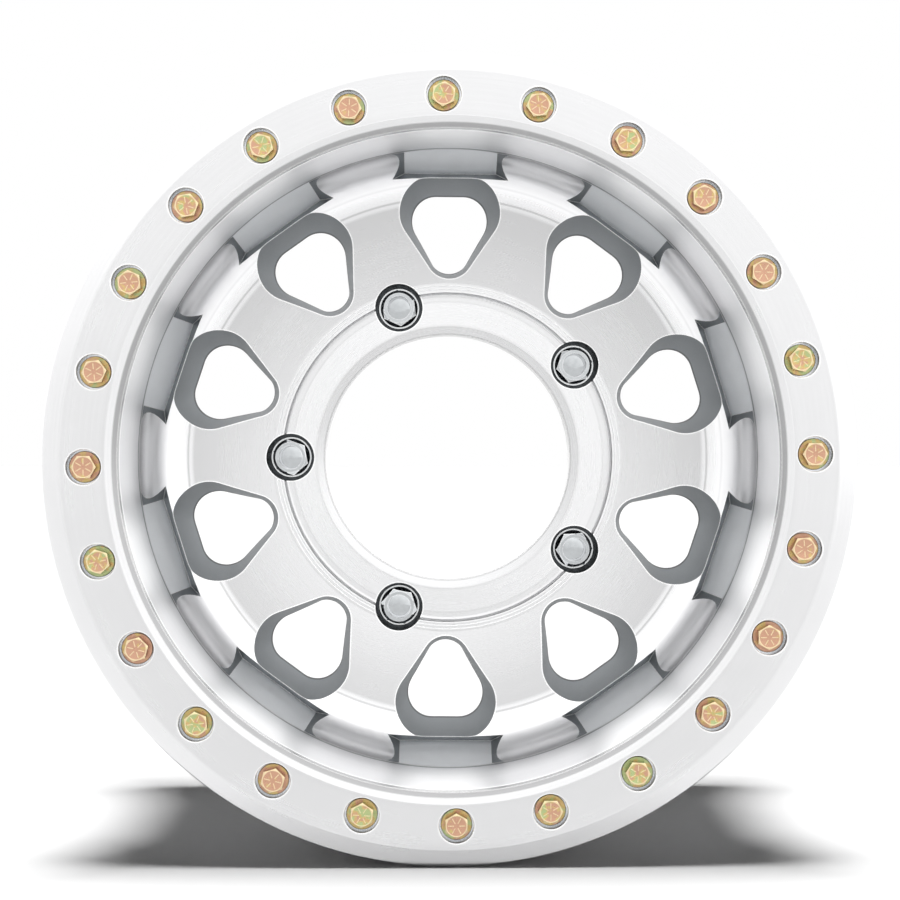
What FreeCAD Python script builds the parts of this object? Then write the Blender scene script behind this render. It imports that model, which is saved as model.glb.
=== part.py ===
import FreeCAD, Part
import math
import os

# A beadlock wheel for a tyre of 17 by 9 inches, in millimetres.
# The wheel spins about Y, its open front faces -Y and +Z is up.
# The origin is the middle of the wheel: on the spin axis, half way along its width.
# Depths are measured from the front face of the beadlock ring towards the back.

# Rim
rim_width = 228.6
bead_seat_diameter = 436.6
flange_height = 17.7
rear_flange_thickness = 12.7
bead_seat_taper = 5.0
bead_seat_length = 20.0
hump_height = 1.2
hump_width = 9.0
hump_fillet = 3.0
well_depth = 14.0
well_wall_thickness = 5.8
well_fillet = 12.0
rear_wall_thickness = 7.4
rear_wall_taper = 2.0
rear_wall_run = 22.0
rear_lip_land = 9.0
rear_lip_drop = 3.0
rear_lip_fillet = 10.0
flange_root_fillet = 4.0
flange_curl_radius = 6.0
flange_edge_land = 4.0
flange_edge_radius = 1.5

# Front of the rim, where the tyre's outer bead is clamped
bead_gap = 24.0
bead_shoulder_height = 8.0
bead_shoulder_width = 9.5
ring_land_width = 24.8
bead_fillet = 2.5
ramp_top_fillet = 5.0
ramp_foot_fillet = 9.0
ramp_angle = 34.0

# Beadlock ring
ring_thickness = 12.7
register_depth = 1.5
register_clearance = 0.2
ring_inner_chamfer = 3.1
ring_inner_bevel = 3.5
ring_inner_bevel_drop = 0.9
ring_outer_bevel = 10.5
ring_outer_bevel_drop = 3.4
ring_edge_radius = 1.6
ring_back_relief = 3.2
ring_back_fillet = 4.0

# Ring bolts and washers
ring_bolt_count = 24
ring_bolt_start_angle = 1.0
bolt_diameter = 7.94
bolt_length = 31.75
bolt_head_width = 12.7
bolt_head_height = 5.36
bolt_tip_chamfer = 1.0
bolt_circle_inset = 6.8
washer_diameter = 17.9
washer_thickness = 1.65
bolt_hole_clearance = 0.4
thread_clearance = 0.05
thread_hole_spare = 4.0
drill_point_angle = 118.0
counterbore_clearance = 1.4
counterbore_chamfer = 0.9

# Hub and spokes
wheel_offset = -38.0
bore_diameter = 160.0
bore_chamfer = 5.5
bore_chamfer_depth = 2.4
bore_back_chamfer = 1.0
hub_thickness = 24.0
hub_step_height = 5.0
hub_step_reach = 4.7
hub_step_fillet = 3.0
hub_step_root_fillet = 0.6
bore_edge_fillet = 1.5
face_land_width = 6.4
face_rise_angle = 9.0
face_bend_fillet = 6.0
bowl_radius = 34.0
barrel_step = 1.0
barrel_step_land = 9.3
pad_margin = 2.5
pad_step = 5.0
pad_step_fillet = 2.5
pad_edge_fillet = 1.0
back_fillet = 14.0
edge_break = 0.8

# Lug nuts, closed at the front, on cone seats
lug_count = 5
lug_start_angle = 36.0
lug_wall = 7.1
stud_diameter = 14.0
stud_hole_diameter = 16.0
nut_flange_diameter = 26.8
nut_flange_thickness = 3.0
nut_width = 20.6
nut_hex_height = 10.5
nut_dome_height = 1.2
nut_dome_share = 0.72
nut_flange_chamfer = 0.3
nut_flange_land = 1.2
nut_shoulder_rise = 1.9
nut_thread_height = 0.8
nut_end_wall = 4.0
nut_seat_clearance = 0.06
socket_clearance = 2.0
hexagon_chamfer_angle = 30.0
hexagon_face_share = 0.95
seat_angle = 60.0
seat_land = 3.1

# Windows between the spokes, cast with draft
window_count = 10
window_start_angle = 17.5
window_hub_gap = 13.8
window_barrel_gap = 24.1
window_width_share = 0.955
window_tip_share = 0.262
window_corner_share = 0.316
window_side_draft = 16.7
window_outer_draft = 15.3
window_tip_draft = 11.0
window_corner_spread = 0.17
window_tip_spread = 0.10

# Cast pockets outside the windows
pocket_width_share = 0.484
pocket_lead = 2.3
pocket_front_rise = 4.5
pocket_length = 37.2
pocket_tilt = 23.8
pocket_side_slope = 42.0
pocket_rear_lean = 27.5
pocket_reach = 14.0

# Valve hole, through the barrel behind one window
valve_hole_diameter = 11.5
valve_hole_setback = 24.0
valve_angle = 90.0

# Sizes that follow from the ones above
overall_width = ring_thickness + rim_width + rear_flange_thickness
front_y = -overall_width / 2
bead_seat_radius = bead_seat_diameter / 2
rim_radius = bead_seat_radius + flange_height
rear_flange_depth = ring_thickness + rim_width
back_end_depth = rear_flange_depth + rear_flange_thickness
seat_depth = ring_thickness - register_depth
bolt_circle_radius = bead_seat_radius - bolt_circle_inset
barrel_radius = bead_seat_radius - ring_land_width
ring_bore_radius = barrel_radius - barrel_step
well_radius = bead_seat_radius - well_depth
pad_depth = ring_thickness + rim_width / 2 - wheel_offset
hub_face_depth = pad_depth - hub_thickness
face_inner_depth = hub_face_depth - hub_step_height
bore_radius = bore_diameter / 2
socket_radius = nut_flange_diameter / 2 + socket_clearance
lug_circle_radius = bore_radius + lug_wall + socket_radius
hub_step_radius = lug_circle_radius + hub_step_reach
face_cone_radius = hub_step_radius + face_land_width
face_slope = math.tan(math.radians(face_rise_angle))
face_outer_depth = face_inner_depth - (barrel_radius - face_cone_radius) * face_slope
bowl_front_depth = face_outer_depth - bowl_radius * math.tan(math.radians(45 - face_rise_angle / 2))
barrel_step_depth = bowl_front_depth - barrel_step_land - barrel_step
pad_radius = lug_circle_radius + socket_radius + pad_margin
back_face_depth = pad_depth - pad_step
seat_cone_height = (nut_flange_diameter - stud_hole_diameter) / 2 / math.tan(math.radians(seat_angle / 2))
socket_floor_depth = pad_depth - seat_land - seat_cone_height
counterbore_depth = bolt_head_height + washer_thickness
counterbore_radius = washer_diameter / 2 + counterbore_clearance
window_tip = hub_step_radius + window_hub_gap
window_outer = barrel_radius - window_barrel_gap
window_length = window_outer - window_tip
window_back_width = window_width_share * window_length
window_tip_radius = window_tip_share * window_length
window_corner_radius = window_corner_share * window_length
pocket_width = pocket_width_share * 2 * math.pi * barrel_radius / window_count
pocket_front_depth = bowl_front_depth - pocket_lead


def at(radius, depth):
    """A point of a turned profile, by its radius and its depth from the ring's front face."""
    return FreeCAD.Vector(radius, front_y + depth, 0)


def rounded_wire(corners):
    """A closed wire through corners given as (point, fillet radius)."""
    edges = []
    joints = []
    count = len(corners)
    for index, (corner, radius) in enumerate(corners):
        before = corners[index - 1][0]
        after = corners[(index + 1) % count][0]
        if radius <= 0:
            joints.append((corner, corner))
            continue
        to_before = (before - corner).normalize()
        to_after = (after - corner).normalize()
        half_angle = to_before.getAngle(to_after) / 2
        run = radius / math.tan(half_angle)
        bisector = (to_before + to_after).normalize()
        start = corner + to_before * run
        end = corner + to_after * run
        middle = corner + bisector * (radius / math.sin(half_angle) - radius)
        edges.append((index, Part.Arc(start, middle, end).toShape()))
        joints.append((start, end))
    arcs = dict(edges)
    ordered = []
    for index in range(count):
        if index in arcs:
            ordered.append(arcs[index])
        leave = joints[index][1]
        arrive = joints[(index + 1) % count][0]
        ordered.append(Part.LineSegment(leave, arrive).toShape())
    return Part.Wire(ordered)


def turned(corners):
    """A solid turned about the spin axis from (radius, depth, fillet) corners."""
    wire = rounded_wire([(at(radius, depth), fillet) for radius, depth, fillet in corners])
    return Part.Face(wire).revolve(FreeCAD.Vector(0, 0, 0), FreeCAD.Vector(0, 1, 0), 360)


def spun(shape, degrees):
    """A copy turned about the spin axis, from 3 o'clock towards 12 as seen from the front."""
    copy = shape.copy()
    copy.rotate(FreeCAD.Vector(0, 0, 0), FreeCAD.Vector(0, 1, 0), -degrees)
    return copy


def pattern(shape, count, start):
    """Copies of a shape spaced evenly round the wheel."""
    return [spun(shape, start + index * 360 / count) for index in range(count)]


def cylinder(radius, front, back, centre_radius):
    """A cylinder along the spin axis between two depths, centred out along +X."""
    base = at(centre_radius, front)
    return Part.makeCylinder(radius, back - front, base, FreeCAD.Vector(0, 1, 0))


def cone(front_radius, back_radius, front, back, centre_radius):
    """A cone along the spin axis between two depths, centred out along +X."""
    base = at(centre_radius, front)
    return Part.makeCone(front_radius, back_radius, back - front, base, FreeCAD.Vector(0, 1, 0))


def hexagon(width, front, back, centre_radius):
    """A hexagonal prism of a given width across its flats, with chamfered front corners."""
    corner = width / math.sqrt(3)
    points = []
    for index in range(6):
        angle = math.radians(60 * index)
        out = FreeCAD.Vector(corner * math.cos(angle), 0, corner * math.sin(angle))
        points.append(at(centre_radius, front) + out)
    prism = Part.Face(Part.makePolygon(points + points[:1])).extrude(FreeCAD.Vector(0, back - front, 0))
    face_radius = hexagon_face_share * width / 2
    rise = (back - front) / math.tan(math.radians(hexagon_chamfer_angle))
    envelope = cone(face_radius, face_radius + rise, front, back, centre_radius)
    return prism.common(envelope)


def front_profile():
    """The machined front of the casting, from its bore out to the face that the ring seats on."""
    return [
        (bore_radius, hub_face_depth + bore_chamfer_depth, 0),
        (bore_radius + bore_chamfer, hub_face_depth, bore_edge_fillet),
        (hub_step_radius, hub_face_depth, hub_step_fillet),
        (hub_step_radius, face_inner_depth, hub_step_root_fillet),
        (face_cone_radius, face_inner_depth, face_bend_fillet),
        (barrel_radius, face_outer_depth, bowl_radius),
        (barrel_radius, barrel_step_depth + barrel_step, 0),
        (ring_bore_radius, barrel_step_depth, 0),
        (ring_bore_radius, seat_depth + edge_break, 0),
        (ring_bore_radius + edge_break, seat_depth, 0),
    ]


def tyre_side_profile():
    """The tyre side of the casting, from the front bead shelf to the rear flange."""
    shoulder_radius = bead_seat_radius + bead_shoulder_height
    shelf_end = ring_thickness + bead_gap
    shoulder_end = shelf_end + bead_shoulder_width
    front_ramp = (shoulder_radius - well_radius) / math.tan(math.radians(ramp_angle))
    seat_front = rear_flange_depth - bead_seat_length
    seat_front_radius = bead_seat_radius - bead_seat_length * math.tan(math.radians(bead_seat_taper))
    hump_radius = seat_front_radius + hump_height
    hump_front = seat_front - hump_width
    rear_ramp = (seat_front_radius - well_radius) / math.tan(math.radians(ramp_angle))
    return [
        (bead_seat_radius, seat_depth, 0),
        (bead_seat_radius, shelf_end, bead_fillet),
        (shoulder_radius, shelf_end, bead_fillet),
        (shoulder_radius, shoulder_end, ramp_top_fillet),
        (well_radius, shoulder_end + front_ramp, ramp_foot_fillet),
        (well_radius, hump_front - rear_ramp, well_fillet),
        (seat_front_radius, hump_front, hump_fillet),
        (hump_radius, hump_front + hump_width / 2, hump_fillet),
        (seat_front_radius, seat_front, hump_fillet),
        (bead_seat_radius, rear_flange_depth, flange_root_fillet),
        (rim_radius - flange_curl_radius / 2, rear_flange_depth, flange_curl_radius),
        (rim_radius, back_end_depth - flange_edge_land, flange_edge_radius),
        (rim_radius, back_end_depth, flange_edge_radius),
    ]


def back_profile():
    """The brake side of the casting, from the rear flange back to its bore."""
    lip_radius = rim_radius - rear_lip_land
    seat_inner = bead_seat_radius - rear_wall_thickness
    well_inner = well_radius - well_wall_thickness
    hump_front = rear_flange_depth - bead_seat_length - hump_width
    rise = (barrel_radius - pad_radius) * face_slope
    return [
        (lip_radius, back_end_depth, flange_edge_radius),
        (seat_inner, rear_flange_depth - rear_lip_drop, rear_lip_fillet),
        (seat_inner - rear_wall_taper, hump_front, back_fillet),
        (well_inner, hump_front - rear_wall_run, back_fillet),
        (well_inner, back_face_depth - rise, back_fillet),
        (pad_radius + pad_step, back_face_depth, pad_step_fillet),
        (pad_radius, pad_depth, pad_edge_fillet),
        (bore_radius + bore_back_chamfer, pad_depth, 0),
        (bore_radius, pad_depth - bore_back_chamfer, 0),
    ]


def belt_wire(circles, place):
    """A closed outline of tangent lines and arcs round circles given as (u, v, radius)."""
    count = len(circles)
    normals = []
    for index in range(count):
        u_one, v_one, radius_one = circles[index]
        u_two, v_two, radius_two = circles[(index + 1) % count]
        length = math.hypot(u_two - u_one, v_two - v_one)
        ahead = ((u_two - u_one) / length, (v_two - v_one) / length)
        along = (radius_one - radius_two) / length
        aside = math.sqrt(1 - along * along)
        normals.append((ahead[0] * along + ahead[1] * aside, ahead[1] * along - ahead[0] * aside))
    edges = []
    for index in range(count):
        u, v, radius = circles[index]
        normal_in = normals[index - 1]
        normal_out = normals[index]
        middle = FreeCAD.Vector(normal_in[0] + normal_out[0], normal_in[1] + normal_out[1], 0).normalize()
        stops = [normal_in, (middle.x, middle.y), normal_out]
        points = [place(u + radius * normal[0], v + radius * normal[1]) for normal in stops]
        edges.append(Part.Arc(*points).toShape())
        u_next, v_next, radius_next = circles[(index + 1) % count]
        arrive = place(u_next + radius_next * normal_out[0], v_next + radius_next * normal_out[1])
        edges.append(Part.LineSegment(points[2], arrive).toShape())
    return Part.Wire(edges)


def window_outline(depth):
    """A window's outline at one depth: a rounded triangle that its draft widens to the front."""
    height = back_face_depth - depth
    half_width = window_back_width / 2 + height * math.tan(math.radians(window_side_draft))
    outer = window_outer + height * math.tan(math.radians(window_outer_draft))
    tip = window_tip - height * math.tan(math.radians(window_tip_draft))
    tip_radius = window_tip_radius + height * window_tip_spread
    corner_radius = window_corner_radius + height * window_corner_spread
    corner_u = half_width - corner_radius
    corner_v = outer - corner_radius
    circles = [
        (0, tip + tip_radius, tip_radius),
        (corner_u, corner_v, corner_radius),
        (-corner_u, corner_v, corner_radius),
    ]
    return belt_wire(circles, lambda u, v: FreeCAD.Vector(v, front_y + depth, u))


def window_cutter():
    """The hole of one window, centred on +X and running past both faces."""
    front = window_outline(barrel_step_depth)
    back = window_outline(pad_depth + 2 * pad_step)
    return Part.makeLoft([back, front], True, True)


def pocket_cutter():
    """One cast pocket: a flat tilted floor with sloping sides, where the bowl meets the barrel."""
    tilt = math.radians(pocket_tilt)
    inward = FreeCAD.Vector(-math.cos(tilt), -math.sin(tilt), 0)
    rearward = FreeCAD.Vector(-math.sin(tilt), math.cos(tilt), 0)
    start = at(barrel_radius + pocket_front_rise, pocket_front_depth)

    def rectangle(lift):
        half = pocket_width / 2 + lift / math.tan(math.radians(pocket_side_slope))
        near = lift * math.tan(tilt)
        far = pocket_length - lift * math.tan(math.radians(pocket_rear_lean))
        corners = []
        for along, across in [(near, -half), (near, half), (far, half), (far, -half)]:
            corners.append(start + inward * lift + rearward * along + FreeCAD.Vector(0, 0, across))
        return Part.makePolygon(corners + corners[:1])

    return Part.makeLoft([rectangle(0), rectangle(pocket_reach)], True, True)


def lug_cutter():
    """A lug socket with its cone seat and stud hole, centred on +X."""
    front = face_inner_depth - hub_thickness
    socket = cylinder(socket_radius, front, socket_floor_depth, lug_circle_radius)
    seat_end = socket_floor_depth + seat_cone_height
    seat_radius = nut_flange_diameter / 2
    hole_radius = stud_hole_diameter / 2
    seat = cone(seat_radius, hole_radius, socket_floor_depth, seat_end, lug_circle_radius)
    hole = cylinder(hole_radius, seat_end, pad_depth + pad_step, lug_circle_radius)
    return socket.fuse([seat, hole]).removeSplitter()


def thread_hole():
    """The blind hole that one ring bolt screws into, with a drilled point."""
    radius = bolt_diameter / 2 + thread_clearance
    end = bolt_head_height + bolt_length + thread_hole_spare
    hole = cylinder(radius, seat_depth - register_depth, end, bolt_circle_radius)
    point_height = radius / math.tan(math.radians(drill_point_angle / 2))
    point = cone(radius, 0, end, end + point_height, bolt_circle_radius)
    return hole.fuse(point)


def valve_hole():
    """The hole for a tyre valve, square through the barrel behind a window."""
    centre = at(0, pad_depth + valve_hole_setback)
    bar = Part.makeCylinder(valve_hole_diameter / 2, rim_radius, centre, FreeCAD.Vector(1, 0, 0))
    return spun(bar, valve_angle)


def make_casting():
    """The wheel casting: hub, spokes and barrel in one piece."""
    body = turned(front_profile() + tyre_side_profile() + back_profile())
    cutters = pattern(window_cutter(), window_count, window_start_angle)
    cutters += pattern(pocket_cutter(), window_count, window_start_angle)
    cutters += pattern(lug_cutter(), lug_count, lug_start_angle)
    cutters += pattern(thread_hole(), ring_bolt_count, ring_bolt_start_angle)
    cutters.append(valve_hole())
    return body.cut(cutters)


def make_ring():
    """The beadlock ring, with a counterbored hole for each ring bolt."""
    outer_start = rim_radius - ring_outer_bevel
    register_radius = bead_seat_radius + register_clearance
    inner_face = ring_bore_radius + ring_inner_chamfer
    body = turned([
        (ring_bore_radius, ring_inner_bevel_drop + ring_inner_chamfer, 0),
        (inner_face, ring_inner_bevel_drop, edge_break),
        (inner_face + ring_inner_bevel, 0, 0),
        (outer_start, 0, 0),
        (rim_radius, ring_outer_bevel_drop, ring_edge_radius),
        (rim_radius, ring_thickness - ring_back_relief, ring_edge_radius),
        (rim_radius - 2 * ring_back_relief, ring_thickness, ring_back_fillet),
        (register_radius, ring_thickness, 0),
        (register_radius, seat_depth, 0),
        (ring_bore_radius + edge_break, seat_depth, 0),
        (ring_bore_radius, seat_depth - edge_break, 0),
    ])
    hole = cylinder(bolt_diameter / 2 + bolt_hole_clearance, 0, ring_thickness, bolt_circle_radius)
    bore = cylinder(counterbore_radius, 0, counterbore_depth, bolt_circle_radius)
    mouth_radius = counterbore_radius + counterbore_chamfer
    mouth = cone(mouth_radius, counterbore_radius, 0, counterbore_chamfer, bolt_circle_radius)
    cutter = bore.fuse([hole, mouth])
    return body.cut(pattern(cutter, ring_bolt_count, ring_bolt_start_angle))


def make_ring_bolts():
    """The hexagon bolts of the ring, heads flush with its face."""
    head = hexagon(bolt_head_width, 0, bolt_head_height, bolt_circle_radius)
    radius = bolt_diameter / 2
    shank_end = bolt_head_height + bolt_length
    tip_start = shank_end - bolt_tip_chamfer
    shank = cylinder(radius, bolt_head_height, tip_start, bolt_circle_radius)
    tip = cone(radius, radius - bolt_tip_chamfer, tip_start, shank_end, bolt_circle_radius)
    bolt = head.fuse([shank, tip]).removeSplitter()
    return Part.makeCompound(pattern(bolt, ring_bolt_count, ring_bolt_start_angle))


def make_ring_washers():
    """The plain washers under the bolt heads."""
    outer = cylinder(washer_diameter / 2, bolt_head_height, counterbore_depth, bolt_circle_radius)
    hole_radius = bolt_diameter / 2 + bolt_hole_clearance
    hole = cylinder(hole_radius, bolt_head_height, counterbore_depth, bolt_circle_radius)
    return Part.makeCompound(pattern(outer.cut(hole), ring_bolt_count, ring_bolt_start_angle))


def make_lug_nuts():
    """The closed lug nuts, each with a hexagon, a flange and a cone that sits in its seat."""
    half_angle = math.radians(seat_angle / 2)
    lift = nut_seat_clearance / math.sin(half_angle)
    flange_back = socket_floor_depth - lift
    flange_front = flange_back - nut_flange_thickness
    hex_front = flange_front - nut_hex_height
    cone_height = seat_cone_height - lift
    flange_radius = nut_flange_diameter / 2
    face_radius = flange_radius - nut_flange_chamfer
    shoulder_radius = flange_radius - nut_flange_land
    small_radius = flange_radius - cone_height * math.tan(half_angle)
    rim_start = flange_front + nut_flange_chamfer
    shoulder_start = flange_front - nut_shoulder_rise
    seat = cone(flange_radius, small_radius, flange_back, flange_back + cone_height, lug_circle_radius)
    rim = cylinder(flange_radius, rim_start, flange_back, lug_circle_radius)
    edge = cone(face_radius, flange_radius, flange_front, rim_start, lug_circle_radius)
    shoulder = cone(nut_width / 2, shoulder_radius, shoulder_start, flange_front, lug_circle_radius)
    body = hexagon(nut_width, hex_front, flange_front, lug_circle_radius)
    dome_radius = nut_dome_share * nut_width / 2
    dome_front = hex_front - nut_dome_height
    dome = cone(dome_radius - nut_dome_height / 2, dome_radius, dome_front, hex_front, lug_circle_radius)
    nut = body.fuse([dome, shoulder, edge, rim, seat]).removeSplitter()
    thread_radius = stud_diameter / 2 - nut_thread_height
    thread = cylinder(thread_radius, hex_front + nut_end_wall, pad_depth, lug_circle_radius)
    return Part.makeCompound(pattern(nut.cut(thread), lug_count, lug_start_angle))


os.makedirs("parts", exist_ok=True)
make_casting().exportStep("parts/wheel_casting.step")
make_ring().exportStep("parts/beadlock_ring.step")
make_ring_bolts().exportStep("parts/ring_bolts.step")
make_ring_washers().exportStep("parts/ring_washers.step")
make_lug_nuts().exportStep("parts/lug_nuts.step")
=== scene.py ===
import math
from collections import namedtuple

import bmesh
import bpy
import numpy as np
from bpy.props import FloatProperty, IntProperty, PointerProperty, StringProperty
from mathutils import Matrix, Vector


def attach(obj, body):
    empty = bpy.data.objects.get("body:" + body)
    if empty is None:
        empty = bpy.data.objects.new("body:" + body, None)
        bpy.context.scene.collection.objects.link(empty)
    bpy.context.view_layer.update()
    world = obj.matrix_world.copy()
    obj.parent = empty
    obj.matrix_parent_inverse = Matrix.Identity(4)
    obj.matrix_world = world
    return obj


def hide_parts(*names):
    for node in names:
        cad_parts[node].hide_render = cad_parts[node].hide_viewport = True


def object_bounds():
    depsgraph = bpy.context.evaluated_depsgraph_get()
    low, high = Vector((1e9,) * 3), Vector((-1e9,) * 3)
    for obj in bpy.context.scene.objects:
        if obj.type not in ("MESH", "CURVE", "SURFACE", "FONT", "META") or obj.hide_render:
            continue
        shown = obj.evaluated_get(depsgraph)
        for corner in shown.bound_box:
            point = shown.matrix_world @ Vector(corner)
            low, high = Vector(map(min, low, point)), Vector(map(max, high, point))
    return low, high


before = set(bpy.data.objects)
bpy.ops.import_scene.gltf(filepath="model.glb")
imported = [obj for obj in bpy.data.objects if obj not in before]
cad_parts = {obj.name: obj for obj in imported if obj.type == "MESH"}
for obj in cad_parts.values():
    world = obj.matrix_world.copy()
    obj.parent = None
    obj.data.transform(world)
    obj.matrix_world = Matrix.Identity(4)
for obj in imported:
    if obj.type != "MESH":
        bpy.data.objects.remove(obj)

bl_info = {
    "name": "Beadlock wheel",
    "version": (1, 0, 0),
    "blender": (4, 5, 0),
    "location": "3D View > Sidebar > Wheel",
    "description": "Builds a turned aluminium beadlock wheel with its ring, bolts, washers and lug nuts",
    "category": "Add Mesh",
}

cad_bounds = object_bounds()
MM = 0.001
SEGMENTS = 360
# Fillets are drawn in steps of at most this angle.
FILLET_STEP = math.radians(8)
# Sides of round shapes by what they belong to.
SOCKET_SIDES = 96
TAPPED_SIDES = 24
VALVE_SIDES = 40
SINK_SIDES = 72
SPUN_SIDES = 96
WASHER_SIDES = 72
# Profile edges shorter than this, in millimetres, are left out.
SHORTEST = 1e-6
WHITE = (1, 1, 1, 1)
# The painted light and shade of a turned face are given by radius, from the spin axis out to this far.
PAINTED_SHADING_REACH = 0.26
# Noise textures rarely leave this span.
NOISE_LOW = 0.3
NOISE_HIGH = 0.7
# Two faces meet in a hard edge beyond these angles: on a boolean's result and on small spun parts.
SHARP_CUT = math.radians(32)
SHARP_SPUN = math.radians(24)

# Names of the attributes that meshes hand to materials or to each other.
STRIP = "strip"
WORN = "worn"
TONE = "tone"

# Faces of a cut solid keep one of these tags; turned faces keep the number of their strip.
CUT_WINDOW = 9001
CUT_POCKET = 9002
CUT_CORNER = 9003
CUT_LUG = 9004
CUT_HOLE = 9005
CUT_EDGE = 9006

# Places of the casting's finishes in its list of materials.
MACHINED, CAST_WALL, CAST_FLOOR_PAINTED_LIGHT, CAST_CORNER, SHADED_BORE = range(5)

# Lengths from here on are in millimetres, as in the pieces' functions.

# Hub and spokes.
HUB_HEIGHT = 24
SPOKE_STEP = 5
SPOKE_SLOPE = math.radians(9)
STEP_PAST_LUGS = 4.7
CONE_PAST_STEP = 6.4
BORE_CHAMFER_WIDTH = 5.5
BORE_CHAMFER_DEPTH = 2.4
# Fine grooves round the hub, at these radii past its step.
GROOVES = (2.2, 4.4)
GROOVE_WIDTH = 0.7
GROOVE_DEPTH = 0.25
PAD_PAST_SOCKETS = 2.5
PAD_EDGE = 1

# Barrel, tyre seats and drop well.
BARREL_STEP = 1
STEP_AHEAD_OF_BOWL = 9.3
RING_RECESS = 1.5
RECESS_LEAD = 0.8
SEAT_WIDTH = 20
SEAT_TAPER = math.radians(5)
SHELF_WIDTH = 24
SHOULDER_RISE = 8
SHOULDER_WIDTH = 9.5
WELL_DROP = 14
WELL_RAMP = math.radians(34)
HUMP_WIDTH = 9
HUMP_RISE = 1.2
LIP_WIDTH = 9
LIP_ROUND = 3
LIP_LENGTH = 4
SEAT_WALL = 7.4
HUMP_WALL = 9.4
WELL_WALL = 5.8
WELL_RUN = 31

# Windows: sizes of the outline at the back of the spokes. Drafts and spreads widen it towards the front.
WINDOW_START = math.radians(17.5)
WINDOW_PAST_HUB = 13.8
WINDOW_BELOW_BARREL = 24.1
WINDOW_TIP_DRAFT = math.radians(11)
WINDOW_OUTER_DRAFT = math.radians(15.3)
WINDOW_TIP_RADIUS = 12.7
WINDOW_TIP_SPREAD = 0.10
WINDOW_CORNER_RADIUS = 15.3
WINDOW_CORNER_SPREAD = 0.17
# The cutter starts at this depth and ends this far past the pad, in so many levels.
WINDOW_FRONT = 84
WINDOW_PAST_PAD = 10
WINDOW_LEVELS = 15
ARC_STEPS = 24
SIDE_STEPS = 8

# Pockets where the bowl meets the barrel.
POCKET_TILT = math.radians(23.8)
POCKET_PAST_BARREL = 4.5
POCKET_AHEAD_OF_BOWL = 2.3
POCKET_DEPTH = 14
POCKET_HALF_WIDTH = 29.4
POCKET_LENGTH = 37.2
POCKET_SIDE_DRAFT = math.radians(42)
POCKET_END_DRAFT = math.radians(27.5)

# Painted light and shade of the turned casting, as a grey at each radius: the bore's edge, the hub, the
# spokes, the bowl, the barrel and the tyre side.
CASTING_LIGHT_AND_SHADE = (
    (80.1, 0.25), (80.9, 0.25),
    (81.2, 0.70), (85, 0.70), (85.6, 0.62), (86.6, 0.79), (100.8, 0.79), (101.5, 0.69), (102.6, 0.74),
    (107, 0.71), (109, 0.70), (135, 0.65), (150, 0.61), (163.6, 0.59), (164, 0.40),
    (164.7, 0.76), (167.1, 0.78), (167.5, 0.46), (168, 0.80), (172, 0.88), (176.6, 1.0), (177, 0.6),
    (177.6, 1.0), (184, 0.96), (189, 1.0), (195, 1.0),
    (198.5, 0.72), (214, 0.66), (236, 0.74),
)
# Depths between which a dark line of painted shade lies inside the barrel, just in front of its step.
STEP_SHADE_DEPTHS = (79.8, 84.2)

# Lug sockets, tapped holes and the valve hole.
SOCKET_RADIUS = 15.4
SOCKET_LENGTH = 60
SEAT_RADIUS = 13.4
STUD_RADIUS = 8
STUD_LAND = 3.1
SEAT_CONE = math.radians(30)
CUT_PAST = 5
TAPPED_RADIUS = 4.02
TAPPED_DEPTH = 31.5
VALVE_RADIUS = 5.75
VALVE_PAST_PAD = 24
VALVE_REACH = (150, 236)

# Beadlock ring.
RING_CHAMFER_WIDTH = 3.1
RING_CHAMFER_DEPTH = 4.0
RING_BEVEL_WIDTH = 3.5
RING_BEVEL_DEPTH = 0.9
RIM_BEVEL_WIDTH = 10.5
RIM_BEVEL_DEPTH = 3.4
RIM_BACK_WIDTH = 6.4
RIM_BACK_DEPTH = 3.2
SEAT_CLEARANCE = 0.2
SINK_CLEARANCE = 1.05
SINK_CHAMFER = 0.3
SINK_DEPTH = 7.01
BOLT_HOLE_RADIUS = 4.37

# Ring bolts and washers.
HEAD_HEIGHT = 5.36
# The flat middle of a head or nut has this radius, as a share of the width across flats.
HEAD_LAND_SHARE = 0.487
HEAD_DISH_WIDTH = 0.5
HEAD_DISH_DEPTH = 0.12
SHANK_RADIUS = 3.97
SHANK_LENGTH = 31.75
SHANK_CHAMFER = 1
MARK_COUNT = 6
MARK_START = 1.5
MARK_END = 5.1
MARK_WIDTH = 0.62
MARK_THICKNESS = 0.5
MARK_BEVEL = 0.14
# How worn the plating is on raised faces, and how deep below the head's top they may lie.
WEAR = 0.7
WORN_DEPTH = 0.1
WORN_CORNER_DEPTH = 1
WASHER_THICKNESS = 1.65
WASHER_EDGE = 0.3

# Lug nuts.
NUT_LIFT = 0.12
NUT_FLANGE = 3
NUT_FLANGE_EDGE = 0.3
NUT_FLANGE_LAND = 1.2
NUT_HEIGHT = 10.5
NUT_LAND_SHARE = 0.475
NUT_CONE_LENGTH = 9.23
NUT_CONE_RADIUS = 8.07
NUT_THREAD_RADIUS = 6.2
NUT_THREAD_TOP = 4
# Rings of a nut's dome: radius, and rise over the hexagon's end.
NUT_DOME = ((7.7, 0), (7.2, 0.3), (6.2, 0.7), (4.5, 1.03), (2.5, 1.17))
# Slope of the cone that cuts a hexagon's corners.
HEX_CHAMFER = math.tan(math.radians(30))

# The picture's middle lies this many pixels right of and below where the spin axis vanishes, at a scale
# of so many pixels for each unit of distance.
PICTURE_RIGHT = 22.2
PICTURE_DOWN = 17.9
PICTURE_SCALE = 1832.0
# The side that the metal sees brighter, and how bright both sides are beside the backdrop.
BRIGHT_SIDE = (0.55, 0.25, 0.8)
DARK_SHARE = 0.78
BRIGHT_SHARE = 1.18
# How far the floor reaches from the wheel, in metres.
FLOOR_REACH = 12.0
SENSOR_WIDTH = 36


def a_length(name, description, default):
    return FloatProperty(name=name, description=description, default=default, unit="LENGTH")


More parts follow.
